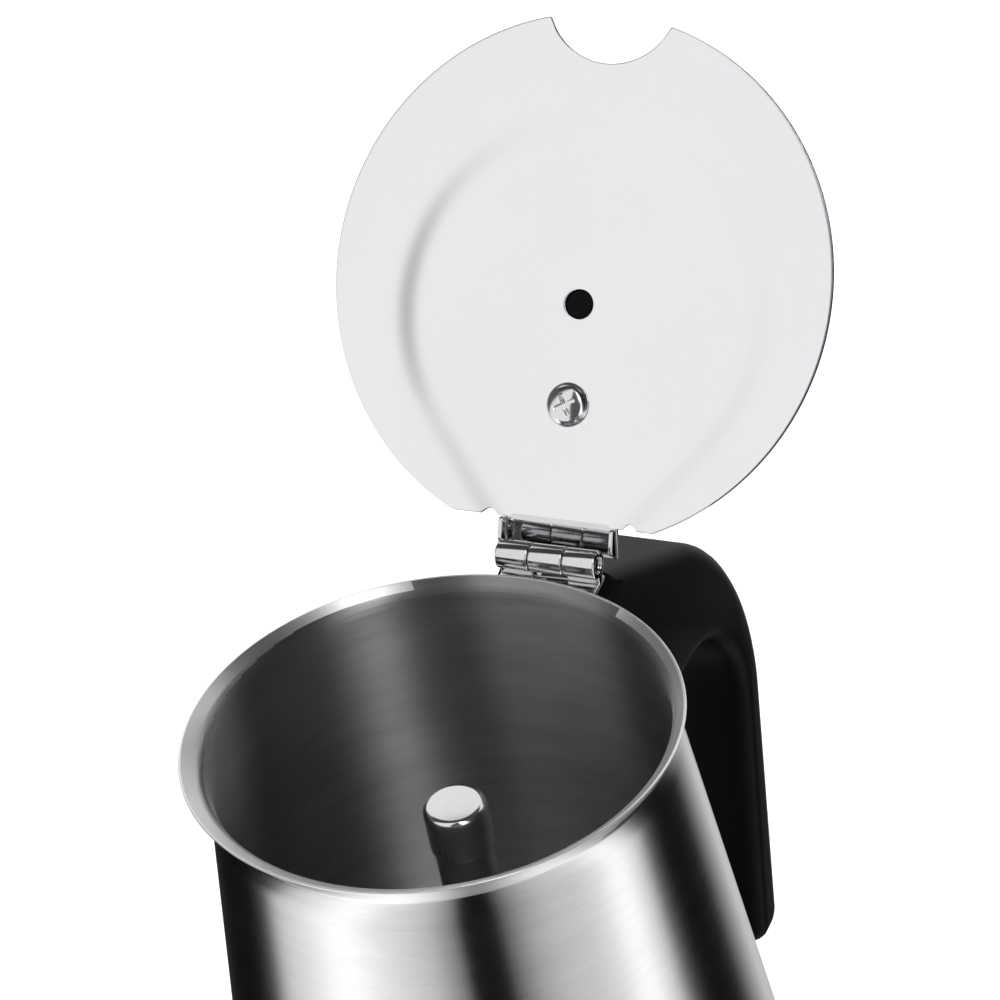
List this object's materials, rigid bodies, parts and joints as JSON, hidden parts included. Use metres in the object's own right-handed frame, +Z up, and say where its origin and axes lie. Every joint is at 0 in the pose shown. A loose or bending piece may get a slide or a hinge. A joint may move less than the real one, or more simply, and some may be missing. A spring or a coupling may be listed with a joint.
{
  "type": "electric moka pot",
  "caption": "Conical stainless steel electric moka pot with hinged open lid, riser column, black handle and cordless round power base",
  "frame": {"origin": "on the pot's vertical axis, in the plane the foot ring stands on", "axes": "+Z up along the pot's axis, +X towards the handle and the lid hinge, -X towards the pouring side, -Y towards the rocker switch"},
  "size_m": [0.1757, 0.133, 0.2562],
  "materials": {
    "brushed_steel_outer": "satin polished stainless steel",
    "polished_steel": "bright polished stainless steel",
    "lid_steel": "fine satin stainless steel",
    "boiler_steel": "satin polished stainless steel",
    "black_plastic": "satin black moulded plastic",
    "base_plastic": "fine textured black plastic",
    "gloss_black": "glossy black plastic",
    "white_ceramic_plastic": "heat-proof natural plastic",
    "rubber": "soft matt rubber",
    "silicone": "off-white silicone",
    "brass": "machined brass",
    "aluminium": "cast aluminium",
    "element_sheath": "dull heated aluminium",
    "zinc_steel": "zinc plated steel",
    "amber_lens": "amber translucent lens"
  },
  "bodies": {
    "power_base": {"base_housing": "base_plastic", "base_plate": "base_plastic", "foot_ring": "rubber", "base_screws": "zinc_steel", "connector_post": "gloss_black", "base_contacts": "brass", "cord_gland": "rubber", "terminal_block": "white_ceramic_plastic", "indicator_lens": "amber_lens", "switch_housing": "gloss_black"},
    "switch": {"switch_rocker": "gloss_black"},
    "boiler": {"heating_plate": "aluminium", "heating_element": "element_sheath", "thermostat": "white_ceramic_plastic", "thermal_fuse": "white_ceramic_plastic", "heater_skirt": "black_plastic", "skirt_screws": "zinc_steel", "pot_connector": "black_plastic", "boiler_shell": "boiler_steel", "valve_body": "brass", "valve_nut": "brass", "valve_spring": "zinc_steel"},
    "valve": {"valve_pin": "polished_steel"},
    "funnel": {"funnel_basket": "boiler_steel", "funnel_stem": "boiler_steel", "funnel_screen": "polished_steel"},
    "seal": {"gasket_ring": "silicone", "filter_plate": "polished_steel"},
    "chamber": {"chamber_shell": "brushed_steel_outer", "threaded_collar": "polished_steel", "column_tube": "polished_steel", "column_cap": "polished_steel", "hinge_bracket": "polished_steel", "hinge_pin": "polished_steel", "handle": "black_plastic", "handle_lug": "zinc_steel", "handle_screw": "zinc_steel"},
    "lid": {"lid_plate": "lid_steel", "hinge_leaf": "polished_steel", "lid_knob": "black_plastic", "knob_screw": "polished_steel"}
  },
  "joints": [
    {"name": "switch_rock", "type": "hinge", "parent": "power_base", "child": "switch", "pos_m": [0, -0.058, 0.011], "axis": [0, 0, 1], "range_deg": [-14, 0]},
    {"name": "pot_lift", "type": "slide", "parent": "power_base", "child": "boiler", "axis": [0, 0, 1], "range_m": [0, 0.08]},
    {"name": "valve_lift", "type": "slide", "parent": "boiler", "child": "valve", "axis": [0, -1, 0], "range_m": [0, 0.0012], "stiffness_N_per_m": 4000, "deforming": ["valve_spring"]},
    {"name": "funnel_lift", "type": "slide", "parent": "boiler", "child": "funnel", "axis": [0, 0, 1], "range_m": [0, 0.065]},
    {"name": "chamber_lift", "type": "slide", "parent": "boiler", "child": "seal", "axis": [0, 0, 1], "range_m": [0, 0.13]},
    {"name": "chamber_turn", "type": "hinge", "parent": "seal", "child": "chamber", "pos_m": [0, 0, 0.1], "axis": [0, 0, 1], "range_deg": [0, 360]},
    {"name": "lid_hinge", "type": "hinge", "parent": "chamber", "child": "lid", "pos_m": [0.049, -0.0012, 0.1855], "axis": [0, 1, 0], "range_deg": [-127.6, 0]}
  ],
  "couplings": [
    {"joint": "funnel_lift", "follows": "chamber_lift", "ratio": 0.5}
  ]
}
